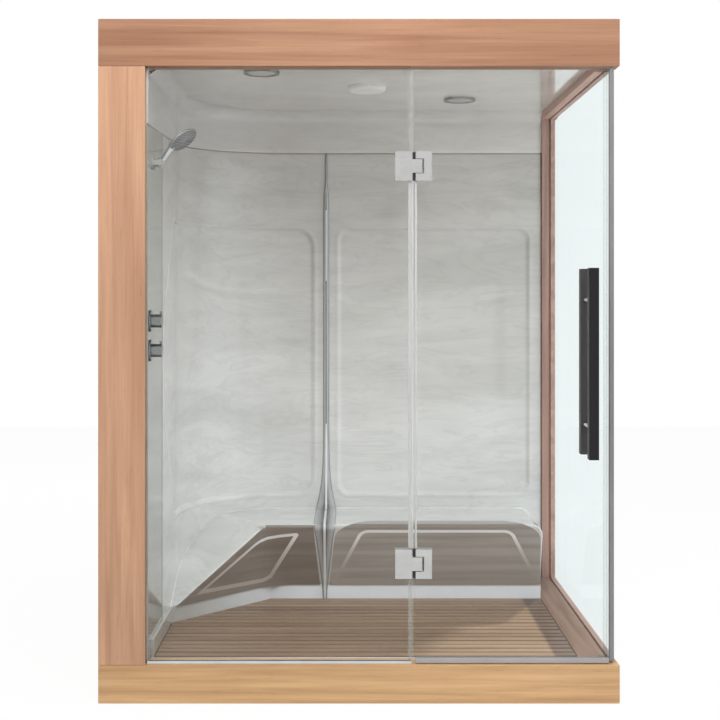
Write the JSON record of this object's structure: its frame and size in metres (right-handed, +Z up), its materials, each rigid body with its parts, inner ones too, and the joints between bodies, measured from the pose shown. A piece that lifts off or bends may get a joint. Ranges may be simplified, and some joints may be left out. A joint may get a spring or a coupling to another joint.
{
  "type": "steam room",
  "caption": "Free-standing steam cabin with a wooden frame, glazed front and side, hinged glass door, moulded seats, slatted floor, ceiling lights and hand shower.",
  "frame": {"origin": "centre of the base on the floor, under the middle levelling foot", "axes": "+Z up, the glazed front faces -Y, the door and the side glass are at +X"},
  "size_m": [1.6, 1.163, 2.1],
  "materials": {
    "beam_wood": "oiled straight-grain softwood",
    "plinth_wood": "oiled straight-grain softwood, yellower",
    "board_wood": "planed boards",
    "floor_wood": "weathered slats",
    "shell_acrylic": "gloss, faintly marbled white",
    "tray_acrylic": "gloss white",
    "apron_acrylic": "gloss taupe",
    "clear_glass": "clear toughened glass",
    "channel_metal": "satin anodised",
    "hinge_metal": "satin",
    "bright_metal": "polished",
    "handle_metal": "satin near-black",
    "clear_seal": "milky flexible profile",
    "dark_seal": "matt black",
    "shower_shell": "bright plated plastic",
    "light_lens": "frosted",
    "lamp_shell": "smooth white",
    "valve_brass": "cast and machined",
    "drain_plastic": "moulded grey",
    "foot_plastic": "moulded black",
    "generator_case": "light grey casing"
  },
  "bodies": {
    "cabin": {"front_roof_beam": "beam_wood", "rear_roof_beam": "beam_wood", "left_roof_beam": "beam_wood", "right_roof_beam": "beam_wood", "left_front_post": "beam_wood", "left_rear_post": "beam_wood", "right_rear_stile": "beam_wood", "side_top_rail": "beam_wood", "side_sill": "beam_wood", "side_glazing_beads": "beam_wood", "front_plinth_beam": "plinth_wood", "rear_plinth_beam": "plinth_wood", "left_plinth_beam": "plinth_wood", "right_plinth_beam": "plinth_wood", "left_cladding": "board_wood", "rear_cladding": "board_wood", "roof_board": "board_wood", "wall_studs": "board_wood", "floor_slats": "floor_wood", "floor_battens": "floor_wood", "left_seat_shell": "shell_acrylic", "right_seat_shell": "shell_acrylic", "left_wall_panel": "shell_acrylic", "ceiling_dome": "shell_acrylic", "shower_tray": "tray_acrylic", "left_seat_apron": "apron_acrylic", "right_seat_apron": "apron_acrylic", "fixed_glass": "clear_glass", "side_glass": "clear_glass", "fixed_glass_channel": "channel_metal", "side_glass_channel": "channel_metal", "hinge_fixed_leaves": "hinge_metal", "hinge_fixed_plates": "hinge_metal", "hinge_fixed_screws": "hinge_metal", "knob_plates": "bright_metal", "downlight_rings": "bright_metal", "joint_strip": "bright_metal", "shower_bracket": "bright_metal", "drain_strainer": "bright_metal", "hinge_side_seals": "clear_seal", "downlight_lenses": "light_lens", "ceiling_lamp": "lamp_shell", "valve_body": "valve_brass", "drain_body": "drain_plastic", "levelling_feet": "foot_plastic", "steam_generator": "generator_case"},
    "door": {"door_glass": "clear_glass", "hinge_door_leaves": "hinge_metal", "hinge_door_plates": "hinge_metal", "hinge_door_screws": "hinge_metal", "hinge_pins": "hinge_metal", "strike_seal": "dark_seal", "door_sweep": "clear_seal", "outer_handle_bar": "handle_metal", "inner_handle_bar": "handle_metal", "handle_standoffs": "bright_metal"},
    "upper_knob": {"upper_knob": "bright_metal"},
    "lower_knob": {"lower_knob": "bright_metal"},
    "shower_socket": {"shower_socket": "bright_metal"},
    "hand_shower": {"hand_shower": "shower_shell"}
  },
  "joints": [
    {"name": "door_swing", "type": "hinge", "parent": "cabin", "child": "door", "pos_m": [0.18, -0.534, 1.04], "axis": [0, 0, -1], "range_deg": [0, 100]},
    {"name": "upper_knob_turn", "type": "hinge", "parent": "cabin", "child": "upper_knob", "pos_m": [-0.63, -0.488, 1.172], "axis": [-1, 0, 0], "range_deg": [0, 90]},
    {"name": "lower_knob_turn", "type": "hinge", "parent": "cabin", "child": "lower_knob", "pos_m": [-0.63, -0.488, 1.08], "axis": [-1, 0, 0], "range_deg": [0, 90]},
    {"name": "bracket_tilt", "type": "hinge", "parent": "cabin", "child": "shower_socket", "pos_m": [-0.625, -0.44, 1.67], "axis": [0, 1, 0], "range_deg": [-15, 15]},
    {"name": "handset_lift", "type": "slide", "parent": "shower_socket", "child": "hand_shower", "axis": [0.5592, 0, 0.829], "range_m": [0, 0.06]}
  ]
}
